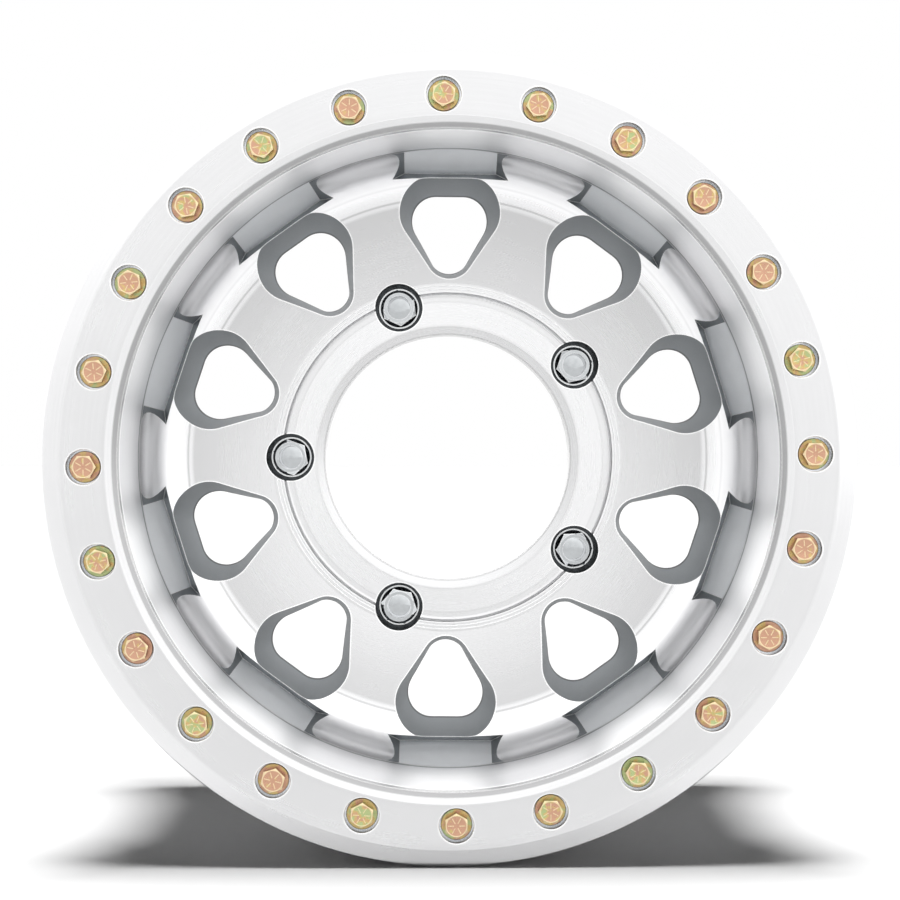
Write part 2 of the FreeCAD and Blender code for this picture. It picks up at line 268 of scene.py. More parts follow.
def an_angle(name, description, degrees):
    return FloatProperty(name=name, description=description, default=math.radians(degrees), subtype="ANGLE")


def a_number(name, description, default):
    return FloatProperty(name=name, description=description, default=default)


def a_count(name, description, default):
    return IntProperty(name=name, description=description, default=default)


def a_colour(name, description, default):
    return StringProperty(name=name, description=description, default=default)


class WheelSizes(bpy.types.PropertyGroup):
    """The wheel's own sizes, as its drawing has them."""
    overall_width: a_length("Overall width", "Front face of the ring to the rear flange", 0.254)
    rim_width: a_length("Rim width", "Between the two tyre flanges", 0.2286)
    bead_seat_diameter: a_length("Bead seat", "Diameter of the tyre's seats", 0.4366)
    flange_height: a_length("Flange height", "Rise of the tyre flanges over the seat", 0.0177)
    barrel_radius: a_length("Barrel radius", "Inside of the barrel in front of the spokes", 0.1935)
    bore_diameter: a_length("Centre bore", "Diameter of the bore", 0.160)
    pad_depth: a_length("Pad depth", "Front face of the ring to the hub face", 0.165)
    bowl_radius: a_length("Bowl radius", "Fillet from the spokes to the barrel", 0.034)
    window_width: a_length("Window width", "Width of a window at the back", 0.0462)
    window_draft: an_angle("Window draft", "Casting draft of the window's walls", 16.7)
    window_count: a_count("Windows", "Windows, and pockets, round the wheel", 10)


class FastenerSizes(bpy.types.PropertyGroup):
    """Sizes of the ring's bolts and washers and of the lug nuts."""
    bolt_count: a_count("Ring bolts", "Bolts round the ring", 24)
    bolt_start: an_angle("First bolt", "Angle of the first bolt from 3 o'clock", 1)
    bolt_circle: a_length("Bolt circle radius", "Radius of the circle of bolts", 0.2115)
    bolt_width: a_length("Bolt head", "Width of a head across its flats", 0.0127)
    washer_diameter: a_length("Washer", "Outer diameter of a washer", 0.0182)
    nut_count: a_count("Lug nuts", "Nuts round the hub", 5)
    nut_start: an_angle("First nut", "Angle of the first nut from 3 o'clock", 36)
    nut_circle: a_length("Lug circle radius", "Radius of the circle of nuts", 0.1025)
    nut_width: a_length("Nut width", "Width of a nut across its flats", 0.0206)


class Finishes(bpy.types.PropertyGroup):
    """Colours of the finishes, as sRGB hex values."""
    turned: a_colour("Turned aluminium", "Machined faces", "#FAFAFB")
    cast_wall: a_colour("Cast wall", "Walls of the windows", "#8A8E91")
    # The pockets' floors are the same cast metal as the windows' walls, painted far lighter: painted light.
    cast_floor_painted_light: a_colour("Cast floor", "Floors of the pockets", "#F4F6F8")
    cast_corner: a_colour("Cast corner", "Side walls of the pockets", "#8E9295")
    zinc_gold: a_colour("Zinc, gold", "Gold of the plating", "#CBB073")
    zinc_green: a_colour("Zinc, green", "Green of the plating", "#AFBA84")
    zinc_rose: a_colour("Zinc, rose", "Rose of the plating", "#C69A80")
    zinc_pale: a_colour("Zinc, worn", "Edges and raised lines", "#EFDFB4")
    chrome: a_colour("Chrome", "Lug nuts", "#BBBEC0")


class StageSettings(bpy.types.PropertyGroup):
    """The studio: where the camera stands and how strong the lights are."""
    camera_left: a_length("Camera left", "Distance left of the spin axis", 0.0129)
    camera_up: a_length("Camera up", "Height above the spin axis", 0.01645)
    camera_distance: a_length("Camera distance", "Distance in front of the ring's face", 1.057)
    focal_length: a_number("Focal length", "In millimetres on a 36 mm sensor", 73.28)
    backdrop: a_number("Backdrop", "Brightness of the studio in the metal", 1.35)
    fill: a_number("Fill", "Brightness of the light from all round", 0.02)
    overhead: a_number("Overhead light", "Strength of the soft light overhead", 3.6)
    overhead_spread: an_angle("Overhead spread", "Angle that the overhead light fills", 18)


def srgb(hex_colour):
    """A linear colour from an sRGB hex value."""
    values = [int(hex_colour[i:i + 2], 16) / 255 for i in (1, 3, 5)]
    linear = [v / 12.92 if v <= 0.04045 else ((v + 0.055) / 1.055) ** 2.4 for v in values]
    return (*linear, 1.0)


# Profiles of turned parts


# One short straight edge of a turned profile, with the true normal at each end.
Span = namedtuple("Span", "start end normal_start normal_end")


def rounded_spans(corners):
    """The spans of a closed profile from (radius, depth, fillet) corners in millimetres."""
    points = [Vector((radius, depth)) for radius, depth, _ in corners]
    area = sum(a.x * b.y - b.x * a.y for a, b in zip(points, points[1:] + points[:1]))
    turn = 1 if area > 0 else -1
    ends = []
    count = len(points)
    for index, (_, _, fillet) in enumerate(corners):
        corner = points[index]
        to_before = (points[index - 1] - corner).normalized()
        to_after = (points[(index + 1) % count] - corner).normalized()
        if fillet <= 0:
            ends.append((corner, corner, []))
            continue
        half = to_before.angle(to_after) / 2
        run = fillet / math.tan(half)
        start = corner + to_before * run
        end = corner + to_after * run
        centre = corner + (to_before + to_after).normalized() * (fillet / math.sin(half))
        first = math.atan2(start.y - centre.y, start.x - centre.x)
        sweep = math.atan2(end.y - centre.y, end.x - centre.x) - first
        sweep = (sweep + math.pi) % (2 * math.pi) - math.pi
        steps = max(2, math.ceil(abs(sweep) / FILLET_STEP))
        arc = []
        for i in range(steps + 1):
            ray = Vector((math.cos(first + sweep * i / steps), math.sin(first + sweep * i / steps)))
            arc.append((centre + ray * fillet, ray))
        ends.append((start, end, arc))
    edges = []
    for index in range(count):
        arc = ends[index][2]
        edges += [(p, q, (p_normal, q_normal)) for (p, p_normal), (q, q_normal) in zip(arc, arc[1:])]
        start = ends[index][1]
        end = ends[(index + 1) % count][0]
        if (end - start).length > SHORTEST:
            edges.append((start, end, ()))
    spans = []
    for start, end, normals in edges:
        chord = (end - start).normalized()
        outward = Vector((chord.y, -chord.x)) * turn
        turned = [-n if n.dot(outward) < 0 else n for n in normals or (outward, outward)]
        spans.append(Span(start, end, *turned))
    return spans


def turned_mesh(name, spans):
    """A mesh turned about the spin axis, each face tagged with the number of its span."""
    front = front_y()
    count = len(spans)
    angles = [2 * math.pi * i / SEGMENTS for i in range(SEGMENTS)]
    vertices = [
        (span.start.x * math.cos(a) * MM, (front + span.start.y) * MM, span.start.x * math.sin(a) * MM)
        for a in angles for span in spans
    ]
    faces = []
    for i in range(SEGMENTS):
        here = i * count
        there = ((i + 1) % SEGMENTS) * count
        for j in range(count):
            k = (j + 1) % count
            faces.append((here + j, here + k, there + k, there + j))
    return tagged_mesh(name, vertices, faces, list(range(1, count + 1)) * SEGMENTS)


def face_out(work):
    """Points every face of a closed skin outwards."""
    bmesh.ops.recalc_face_normals(work, faces=work.faces)
    if work.calc_volume(signed=True) < 0:
        bmesh.ops.reverse_faces(work, faces=work.faces)


def tagged_mesh(name, vertices, faces, marks):
    """A closed mesh that faces outwards, with a tag on each face."""
    mesh = bpy.data.meshes.new(name)
    mesh.from_pydata(vertices, [], faces)
    mesh.attributes.new(STRIP, "INT", "FACE").data.foreach_set("value", marks)
    work = bmesh.new()
    work.from_mesh(mesh)
    face_out(work)
    work.to_mesh(mesh)
    work.free()
    return mesh


def prism_mesh(name, loops, tag, axis_copies, first_tag=None, level_tags=None):
    """Closed skins through matching loops of points, one for each matrix, tagged for their finish."""
    level_tags = level_tags or [tag] * (len(loops) - 1)
    vertices = []
    faces = []
    marks = []
    size = len(loops[0])
    for matrix in axis_copies:
        base = len(vertices)
        for loop in loops:
            vertices += [matrix @ Vector(point) * MM for point in loop]
        for level in range(len(loops) - 1):
            for i in range(size):
                j = (i + 1) % size
                a = base + level * size
                faces.append((a + i, a + j, a + size + j, a + size + i))
        faces.append(tuple(base + i for i in range(size)))
        last = base + (len(loops) - 1) * size
        faces.append(tuple(last + i for i in reversed(range(size))))
        marks += [mark for mark in level_tags for _ in range(size)] + [first_tag or tag, tag]
    return tagged_mesh(name, vertices, faces, marks)


def new_object(name, data):
    """An object for a mesh, a lamp or a camera, linked to the scene at the origin."""
    item = bpy.data.objects.new(name, data)
    bpy.context.scene.collection.objects.link(item)
    return item


def around(count, start):
    """Matrices that turn a shape on +X to each of its places round the wheel, in millimetres."""
    return [Matrix.Rotation(-(start + 2 * math.pi * i / count), 4, "Y") for i in range(count)]


def circle_loop(centre_radius, radius, depth, sides):
    """A ring of points square to the spin axis, centred out along +X."""
    y = depth + front_y()
    return [
        (centre_radius + radius * math.cos(a), y, radius * math.sin(a))
        for a in (2 * math.pi * i / sides for i in range(sides))
    ]


def evaluated_mesh(item, change):
    """The mesh that an object's modifier makes; the modifier is then removed."""
    graph = bpy.context.evaluated_depsgraph_get()
    result = bpy.data.meshes.new_from_object(item.evaluated_get(graph))
    item.modifiers.remove(change)
    return result


def cut_all(item, cutter_meshes):
    """Cuts closed meshes out of an object one after the other, then drops them."""
    for mesh in cutter_meshes:
        cutter = new_object(mesh.name, mesh)
        change = item.modifiers.new("cut", "BOOLEAN")
        change.operation = "DIFFERENCE"
        change.solver = "MANIFOLD"
        change.object = cutter
        item.data = evaluated_mesh(item, change)
        bpy.data.objects.remove(cutter)


def read_array(data, name, width=1, kind=float):
    """One property of every item in a mesh's list, as rows of an array."""
    values = np.zeros(len(data) * width, dtype=kind)
    data.foreach_get(name, values)
    return values.reshape(-1, width) if width > 1 else values


def true_normals(item, spans):
    """Gives turned faces the normals of their true curves, and other faces smooth ones by angle."""
    mesh = item.data
    mesh.set_sharp_from_angle(angle=SHARP_CUT)
    front = front_y()
    corner_normals = read_array(mesh.corner_normals, "vector", 3)
    tags = read_array(mesh.attributes[STRIP].data, "value", kind=np.int32)
    loop_tags = np.repeat(tags, read_array(mesh.polygons, "loop_total", kind=np.int32))
    loop_vertices = read_array(mesh.loops, "vertex_index", kind=np.int32)
    at = read_array(mesh.vertices, "co", 3)[loop_vertices]
    radius = np.hypot(at[:, 0], at[:, 2])
    for number, span in enumerate(spans, start=1):
        chosen = loop_tags == number
        if not chosen.any():
            continue
        r = radius[chosen] / MM
        depth = at[chosen, 1] / MM - front
        chord = span.end - span.start
        share = ((r - span.start.x) * chord.x + (depth - span.start.y) * chord.y) / chord.length_squared
        share = np.clip(share, 0, 1)[:, None]
        normal = np.array(span.normal_start)[None] * (1 - share) + np.array(span.normal_end)[None] * share
        normal /= np.linalg.norm(normal, axis=1)[:, None]
        away = radius[chosen]
        corner_normals[chosen, 0] = normal[:, 0] * at[chosen, 0] / away
        corner_normals[chosen, 1] = normal[:, 1]
        corner_normals[chosen, 2] = normal[:, 0] * at[chosen, 2] / away
    mesh.normals_split_custom_set([tuple(n) for n in corner_normals])


def finish_by_tag(item, materials, finish_of):
    """Gives each face the finish that its tag calls for."""
    mesh = item.data
    mesh.materials.clear()
    for material in materials:
        mesh.materials.append(material)
    tags = read_array(mesh.attributes[STRIP].data, "value", kind=np.int32)
    chosen = np.zeros(len(tags), dtype=np.int32)
    for tag, finish in finish_of.items():
        chosen[tags == tag] = finish
    mesh.polygons.foreach_set("material_index", chosen)
    mesh.update()


# Materials


def add_node(tree, kind, inputs=None, **settings):
    """Adds a node; inputs are values or sockets to link, by the input's name or number."""
    node = tree.nodes.new(kind)
    for key, value in settings.items():
        setattr(node, key, value)
    for key, value in (inputs or {}).items():
        if isinstance(value, bpy.types.NodeSocket):
            tree.links.new(value, node.inputs[key])
        else:
            node.inputs[key].default_value = value
    return node


def maths(tree, operation, *values):
    """The result of a maths node on one or two values or sockets."""
    return add_node(tree, "ShaderNodeMath", dict(enumerate(values)), operation=operation).outputs[0]


def times(tree, first, second):
    """A colour or a place times another, channel by channel."""
    return add_node(tree, "ShaderNodeVectorMath", {0: first, 1: second}, operation="MULTIPLY").outputs[0]


def remap(tree, value, start, end, low, high):
    """A value taken from one span to another and held at its ends."""
    return add_node(tree, "ShaderNodeMapRange", {0: value, 1: start, 2: end, 3: low, 4: high}).outputs[0]


def blend(tree, share, first, second):
    """Two values mixed."""
    return add_node(tree, "ShaderNodeMix", {0: share, 2: first, 3: second}).outputs[0]


def blend_colours(tree, share, first, second):
    """Two colours mixed."""
    return add_node(tree, "ShaderNodeMix", {0: share, 6: first, 7: second}, data_type="RGBA").outputs[2]


def noise(tree, place, per_metre, detail=2.0):
    """Smooth noise with so many waves in a metre."""
    values = {"Vector": place, "Scale": per_metre, "Detail": detail}
    return add_node(tree, "ShaderNodeTexNoise", values).outputs["Fac"]


def ramp(tree, factor, stops):
    """A colour ramp through (position, grey or colour) stops."""
    node = add_node(tree, "ShaderNodeValToRGB", {"Fac": factor})
    elements = node.color_ramp.elements
    while len(elements) < len(stops):
        elements.new(0.5)
    for element, (position, colour) in zip(elements, stops):
        element.position = position
        element.color = colour if isinstance(colour, tuple) else (colour, colour, colour, 1)
    return node.outputs["Color"]


def scaled(colour, factor):
    """A colour made darker or lighter, and no lighter than white."""
    return tuple(min(1, channel * factor) for channel in colour[:3]) + (1,)


def start_material(name, **values):
    """A new material, its shader with constants on the shader's own sockets, and the object's places."""
    material = bpy.data.materials.new(name)
    material.use_nodes = True
    tree = material.node_tree
    shader = tree.nodes["Principled BSDF"]
    for key, value in values.items():
        shader.inputs[key.replace("_", " ")].default_value = value
    return material, tree, shader, add_node(tree, "ShaderNodeTexCoord").outputs["Object"]


def finish_material(tree, shader, colour, roughness, height=None, strength=0.0, distance=0.0):
    """Links a material's colour, its roughness and, where it has one, its fine relief."""
    tree.links.new(colour, shader.inputs["Base Color"])
    tree.links.new(roughness, shader.inputs["Roughness"])
    if height is not None:
        values = {"Height": height, "Strength": strength, "Distance": distance}
        bump = add_node(tree, "ShaderNodeBump", values)
        tree.links.new(bump.outputs[0], shader.inputs["Normal"])


def wheel_place(tree, place):
    """Sockets for the distance from the spin axis and the place along it, in metres."""
    split = add_node(tree, "ShaderNodeSeparateXYZ", {0: place}).outputs
    flat = add_node(tree, "ShaderNodeCombineXYZ", {"X": split["X"], "Y": split["Z"]}).outputs[0]
    radius = add_node(tree, "ShaderNodeVectorMath", {0: flat}, operation="LENGTH").outputs["Value"]
    return radius, split["Y"]


def lathe_lines(tree, radius, along, per_metre, detail=2.0):
    """Noise that only changes with radius and depth: the fine rings that a turning tool leaves."""
    line = add_node(tree, "ShaderNodeCombineXYZ", {"X": radius, "Y": along}).outputs[0]
    waves = add_node(tree, "ShaderNodeVectorMath", {0: line, "Scale": per_metre}, operation="SCALE")
    return noise(tree, waves.outputs[0], 1.0, detail)


def painted_edge_highlight(tree, reach):
    """A mask for a painted highlight: one on sharp edges and fading within a reach, where a broken edge
    catches the light.
    """
    eased = add_node(tree, "ShaderNodeBevel", {"Radius": reach * MM}, samples=6).outputs[0]
    facing = add_node(tree, "ShaderNodeNewGeometry").outputs["Normal"]
    agree = add_node(tree, "ShaderNodeVectorMath", {0: eased, 1: facing}, operation="DOT_PRODUCT")
    # Cosines of the turn where the glow starts and where it is full.
    return remap(tree, agree.outputs["Value"], 0.995, 0.92, 0.0, 1.0)


def barrel_step_shade(tree, radius, along, front, back):
    """A painted shade line inside the barrel between two depths, just in front of the barrel's step."""
    middle = (front + back) / 2 * MM - wheel().overall_width / 2
    half = (back - front) / 2 * MM
    away = maths(tree, "ABSOLUTE", maths(tree, "SUBTRACT", along, middle))
    line = remap(tree, away, half * 0.6, half * 1.3, 0.38, 1.0)
    barrel = wheel().barrel_radius + 2.5 * MM
    return maths(tree, "MAXIMUM", line, maths(tree, "GREATER_THAN", radius, barrel))


def turned_aluminium(name, roughness, painted_shading, step_shade=None):
    """Turned and clear-coated cast aluminium: bright, with fine rings, a satin, faintly cloudy sheen, light
    and shade painted as greys by radius, and painted highlights on sharp edges.
    """
    material, tree, shader, place = start_material(
        name, Metallic=1.0, Coat_Weight=0.3, Coat_Roughness=0.18, Anisotropic=0.7)
    colour = srgb(finishes().turned)
    radius, along = wheel_place(tree, place)
    # Tool feed marks 0.25 mm apart are too fine to show, so the rings are drawn about 0.9 mm apart.
    fine = lathe_lines(tree, radius, along, 1100)
    broad = lathe_lines(tree, radius, along, 130, 3.0)
    lines = blend(tree, 0.45, fine, broad)
    both = blend(tree, 0.3, lines, noise(tree, place, 34.0, 3.0))
    rough = remap(tree, both, NOISE_LOW, NOISE_HIGH, roughness - 0.05, roughness + 0.06)
    # The colour is multiplied by greys by radius that paint in light and shade.
    share = maths(tree, "MULTIPLY", radius, 1 / PAINTED_SHADING_REACH)
    tone = ramp(tree, share, [(r * MM / PAINTED_SHADING_REACH, grey) for r, grey in painted_shading])
    toned = times(tree, ramp(tree, both, [(0.38, scaled(colour, 0.96)), (0.62, colour)]), tone)
    if step_shade:
        # A dark line painted inside the barrel in front of its step: painted shade.
        toned = times(tree, toned, barrel_step_shade(tree, radius, along, *step_shade))
        # The barrel's wall has a coarser feed than the faces.
        rough = maths(tree, "ADD", rough, remap(tree, radius, 0.174, 0.179, 0.0, 0.06))
    # Sharp edges are painted white: a painted highlight.
    lit = blend_colours(tree, painted_edge_highlight(tree, 1.8), toned, WHITE)
    finish_material(tree, shader, lit, rough, lines, 0.08, 0.4 * MM)
    tangent = add_node(tree, "ShaderNodeTangent", direction_type="RADIAL", axis="Y")
    tree.links.new(tangent.outputs[0], shader.inputs["Tangent"])
    return material


def cast_aluminium(name, colour, spread, shaded_back_edge=None):
    """Sand-cast aluminium under clear coat: matt grey with a fine grain, painted highlights on sharp edges,
    and painted shade along a back edge.
    """
    material, tree, shader, place = start_material(
        name, Metallic=0.85, Coat_Weight=0.12, Coat_Roughness=0.35)
    # Sand grain of about 0.5 mm.
    grain = noise(tree, place, 1900.0, 3.0)
    both = blend(tree, 0.5, grain, noise(tree, place, 60.0, 4.0))
    base = srgb(colour)
    tint = ramp(tree, both, [(NOISE_LOW, scaled(base, 1 - spread)), (NOISE_HIGH, scaled(base, 1 + spread))])
    glow = painted_edge_highlight(tree, 1.2)
    if shaded_back_edge:
        # The wall is painted darker near the spokes' back face, as painted shade, and loses its painted
        # highlight there.
        depth, slope = shaded_back_edge
        radius, along = wheel_place(tree, place)
        inward = maths(tree, "ADD", along, maths(tree, "MULTIPLY", radius, slope))
        end = depth * MM - wheel().overall_width / 2
        clear = remap(tree, inward, end - 2.6 * MM, end - 1.4 * MM, 1.0, 0.0)
        tint = times(tree, tint, remap(tree, clear, 0.0, 1.0, 0.4, 1.0))
        glow = maths(tree, "MULTIPLY", glow, clear)
    # Sharp edges are painted near white: a painted highlight.
    lit = blend_colours(tree, glow, tint, scaled(WHITE, 0.95))
    rough = remap(tree, grain, NOISE_LOW, NOISE_HIGH, 0.5, 0.68)
    finish_material(tree, shader, lit, rough, grain, 0.35, 0.3 * MM)
    return material


def shaded_bore_aluminium(name, dark, light):
    """The bored walls of sockets and holes under the coat, painted dark as painted shade inside them."""
    material, tree, shader, place = start_material(name, Metallic=0.9, Coat_Weight=0.2, Coat_Roughness=0.1)
    rings = noise(tree, place, 240.0, 3.0)
    tint = ramp(tree, rings, [(0.35, srgb(dark)), (0.65, srgb(light))])
    finish_material(tree, shader, tint, remap(tree, rings, NOISE_LOW, NOISE_HIGH, 0.2, 0.34))
    return material


def yellow_zinc(name, stops):
    """Yellow chromate on zinc plating: a thin film that plays from gold to green and rose, pale on edges."""
    material, tree, shader, place = start_material(name, Metallic=0.9, Coat_Weight=0.3, Coat_Roughness=0.12)
    tone = add_node(tree, "ShaderNodeAttribute", attribute_name=TONE).outputs["Fac"]
    play = remap(tree, noise(tree, place, 210.0), NOISE_LOW, NOISE_HIGH, 0.15, 0.85)
    film = maths(tree, "ADD", play, maths(tree, "MULTIPLY", tone, 0.6))
    tint = ramp(tree, film, [(share, srgb(colour)) for share, colour in stops])
    worn = add_node(tree, "ShaderNodeAttribute", attribute_name=WORN).outputs["Fac"]
    pale = blend_colours(tree, worn, tint, srgb(finishes().zinc_pale))
    scratch = noise(tree, place, 900.0, 3.0)
    rough = remap(tree, scratch, NOISE_LOW, NOISE_HIGH, 0.24, 0.42)
    finish_material(tree, shader, pale, rough, scratch, 0.12, 0.2 * MM)
    return material


def bright_chrome():
    """Chrome plate on steel: mirror bright, with the faintest swirl of polishing and painted highlights on
    its sharp edges.
    """
    material, tree, shader, place = start_material("bright_chrome", Metallic=1.0)
    haze = noise(tree, place, 300.0, 3.0)
    base = srgb(finishes().chrome)
    tint = ramp(tree, haze, [(0.35, scaled(base, 0.92)), (0.65, base)])
    # Sharp edges are painted white: a painted highlight.
    lit = blend_colours(tree, painted_edge_highlight(tree, 0.9), tint, WHITE)
    finish_material(tree, shader, lit, remap(tree, haze, NOISE_LOW, NOISE_HIGH, 0.05, 0.13))
    return material


def studio_floor():
    """Matt white paper sweep."""
    material, tree, shader, place = start_material("white_paper", Roughness=1.0, Specular_IOR_Level=0.0)
    pulp = ramp(tree, noise(tree, place, 3.0), [(NOISE_LOW, 0.9), (NOISE_HIGH, 0.93)])
    tree.links.new(pulp, shader.inputs["Base Color"])
    return material


# Pieces


def wheel():
    return bpy.context.scene.wheel_sizes


def fasteners():
    return bpy.context.scene.wheel_fasteners


def finishes():
    return bpy.context.scene.wheel_finishes


def stage():
    return bpy.context.scene.wheel_stage


def front_y():
    """Where the ring's front face stands along the spin axis; depths are measured from it."""
    return -wheel().overall_width / 2 / MM


def hub_step():
    """Radius of the step round the hub's front."""
    return fasteners().nut_circle / MM + STEP_PAST_LUGS


def pad_radius():
    """Outer radius of the pad that rests on the vehicle's hub."""
    return fasteners().nut_circle / MM + SOCKET_RADIUS + PAD_PAST_SOCKETS


def socket_floor():
    """Depth of a lug socket's flat floor, where its cone seat begins."""
    return wheel().pad_depth / MM - STUD_LAND - (SEAT_RADIUS - STUD_RADIUS) / math.tan(SEAT_CONE)


def face_depth_at(radius):
    """Depth of the spokes' sloping face at a radius."""
    face = wheel().pad_depth / MM - HUB_HEIGHT - SPOKE_STEP
    cone_start = hub_step() + CONE_PAST_STEP
    return face - (radius - cone_start) * math.tan(SPOKE_SLOPE)


def bowl_front():
    """Depth where the bowl's fillet leaves the barrel."""
    size = wheel()
    rise = size.bowl_radius / MM * math.tan((math.pi / 2 - SPOKE_SLOPE) / 2)
    return face_depth_at(size.barrel_radius / MM) - rise


def casting_spans():
    """The casting's turned profile: hub, spoke face, bowl, barrel, tyre side and brake side."""
    size = wheel()
    bore = size.bore_diameter / 2 / MM
    pad = size.pad_depth / MM
    barrel = size.barrel_radius / MM
    seat = size.bead_seat_diameter / 2 / MM
    rim = seat + size.flange_height / MM
    width = size.overall_width / MM
    flange = (width - size.rim_width / MM) / 2
    hub_face = pad - HUB_HEIGHT
    face = hub_face - SPOKE_STEP
    step = hub_step()
    step_depth = bowl_front() - STEP_AHEAD_OF_BOWL - BARREL_STEP
    ring_bore = barrel - BARREL_STEP
    ring_seat = flange - RING_RECESS
    well = seat - WELL_DROP
    shelf_end = flange + SHELF_WIDTH
    shoulder = seat + SHOULDER_RISE
    shoulder_end = shelf_end + SHOULDER_WIDTH
    rear = width - flange
    seat_front = rear - SEAT_WIDTH
    low_seat = seat - SEAT_WIDTH * math.tan(SEAT_TAPER)
    hump_front = seat_front - HUMP_WIDTH
    ramp = math.tan(WELL_RAMP)
    back = pad - SPOKE_STEP
    inner = well - WELL_WALL
    grooves = [
        (step + past + side * GROOVE_WIDTH / 2, face + depth, 0)
        for past in GROOVES for side, depth in ((-1, 0), (0, GROOVE_DEPTH), (1, 0))
    ]
    # Each corner's radius, depth and fillet.
    return rounded_spans([
        (bore, hub_face + BORE_CHAMFER_DEPTH, 0.4),
        (bore + BORE_CHAMFER_WIDTH, hub_face, 1.5),
        (step, hub_face, 3),
        (step, face, 0.6),
        *grooves,
        (step + CONE_PAST_STEP, face, 6),
        (barrel, face_depth_at(barrel), size.bowl_radius / MM),
        (barrel, step_depth + BARREL_STEP, 0),
        (ring_bore, step_depth, 0),
        (ring_bore, ring_seat + RECESS_LEAD, 0),
        (ring_bore + RECESS_LEAD, ring_seat, 0),
        (seat, ring_seat, 0),
        (seat, shelf_end, 2.5),
        (shoulder, shelf_end, 2.5),
        (shoulder, shoulder_end, 5),
        (well, shoulder_end + (shoulder - well) / ramp, 9),
        (well, hump_front - (low_seat - well) / ramp, 12),
        (low_seat, hump_front, 3),
        (low_seat + HUMP_RISE, seat_front - HUMP_WIDTH / 2, 3),
        (low_seat, seat_front, 3),
        (seat, rear, 4),
        (rim - LIP_ROUND, rear, 6),
        (rim, width - LIP_LENGTH, 1.5),
        (rim, width, 1.5),
        (rim - LIP_WIDTH, width, 1.5),
        (seat - SEAT_WALL, rear - LIP_ROUND, 10),
        (seat - HUMP_WALL, hump_front, 14),
        (inner, seat_front - WELL_RUN, 14),
        (inner, back - (barrel - pad_radius()) * math.tan(SPOKE_SLOPE), 14),
        (pad_radius() + SPOKE_STEP, back, 2.5),
        (pad_radius(), pad, 1),
        (bore + PAD_EDGE, pad, 0),
        (bore, pad - PAD_EDGE, 0),
    ])


def window_loop(depth):
    """One window's outline at a depth: a rounded triangle that the draft widens towards the front."""
    size = wheel()
    height = size.pad_depth / MM - SPOKE_STEP - depth
    half = size.window_width / 2 / MM + height * math.tan(size.window_draft)
    tip = hub_step() + WINDOW_PAST_HUB - height * math.tan(WINDOW_TIP_DRAFT)
    outer = size.barrel_radius / MM - WINDOW_BELOW_BARREL + height * math.tan(WINDOW_OUTER_DRAFT)
    tip_radius = WINDOW_TIP_RADIUS + WINDOW_TIP_SPREAD * height
    corner = WINDOW_CORNER_RADIUS + WINDOW_CORNER_SPREAD * height
    circles = [(0, tip + tip_radius, tip_radius), (half - corner, outer - corner, corner),
               (corner - half, outer - corner, corner)]
    normals = []
    for index, (u, v, radius) in enumerate(circles):
        u_next, v_next, next_radius = circles[(index + 1) % 3]
        ahead = Vector((u_next - u, v_next - v))
        along = (radius - next_radius) / ahead.length
        ahead.normalize()
        normals.append(ahead * along + Vector((ahead.y, -ahead.x)) * math.sqrt(1 - along * along))
    y = depth + front_y()
    loop = []
    for index, (u, v, radius) in enumerate(circles):
        first = math.atan2(normals[index - 1].y, normals[index - 1].x)
        sweep = (math.atan2(normals[index].y, normals[index].x) - first) % (2 * math.pi)
        for i in range(ARC_STEPS + 1):
            angle = first + sweep * i / ARC_STEPS
            loop.append(Vector((v + radius * math.sin(angle), y, u + radius * math.cos(angle))))
        u_next, v_next, next_radius = circles[(index + 1) % 3]
        normal = normals[index]
        arrive = Vector((v_next + next_radius * normal.y, y, u_next + next_radius * normal.x))
        leave = loop[-1]
        loop += [leave.lerp(arrive, i / SIDE_STEPS) for i in range(1, SIDE_STEPS)]
    return loop


def pocket_loops():
    """The floor and mouth of one cast pocket, where the bowl meets the barrel."""
    inward = Vector((-math.cos(POCKET_TILT), -math.sin(POCKET_TILT), 0))
    rearward = Vector((-math.sin(POCKET_TILT), math.cos(POCKET_TILT), 0))
    radius = wheel().barrel_radius / MM + POCKET_PAST_BARREL
    start = Vector((radius, bowl_front() - POCKET_AHEAD_OF_BOWL + front_y(), 0))
    loops = []
    for lift in (0, POCKET_DEPTH):
        half = POCKET_HALF_WIDTH + lift / math.tan(POCKET_SIDE_DRAFT)
        near = lift * math.tan(POCKET_TILT)
        far = POCKET_LENGTH - lift * math.tan(POCKET_END_DRAFT)
        loops.append([
            start + inward * lift + rearward * along + Vector((0, 0, across))
            for along, across in ((near, -half), (near, half), (far, half), (far, -half))
        ])
    return loops


def lug_loops():
    """Rings down one lug socket: its wall, floor, cone seat and stud hole."""
    circle = fasteners().nut_circle / MM
    pad = wheel().pad_depth / MM
    floor = socket_floor()
    rings = ((SOCKET_RADIUS, pad - SOCKET_LENGTH), (SOCKET_RADIUS, floor), (SEAT_RADIUS, floor),
             (STUD_RADIUS, pad - STUD_LAND), (STUD_RADIUS, pad + CUT_PAST))
    return [circle_loop(circle, radius, depth, SOCKET_SIDES) for radius, depth in rings]


def tapped_loops():
    """Both ends of one hole for a ring bolt, from just in front of the ring's seat."""
    size = wheel()
    circle = fasteners().bolt_circle / MM
    seat = (size.overall_width - size.rim_width) / 2 / MM - RING_RECESS
    depths = (seat - 1, seat + TAPPED_DEPTH)
    return [circle_loop(circle, TAPPED_RADIUS, depth, TAPPED_SIDES) for depth in depths]


def valve_loops():
    """Both ends of the valve hole, out along +X through the barrel's wall."""
    y = wheel().pad_depth / MM + VALVE_PAST_PAD + front_y()
    angles = [2 * math.pi * i / VALVE_SIDES for i in range(VALVE_SIDES)]
    return [[(reach, y + VALVE_RADIUS * math.cos(a), VALVE_RADIUS * math.sin(a)) for a in angles]
            for reach in VALVE_REACH]


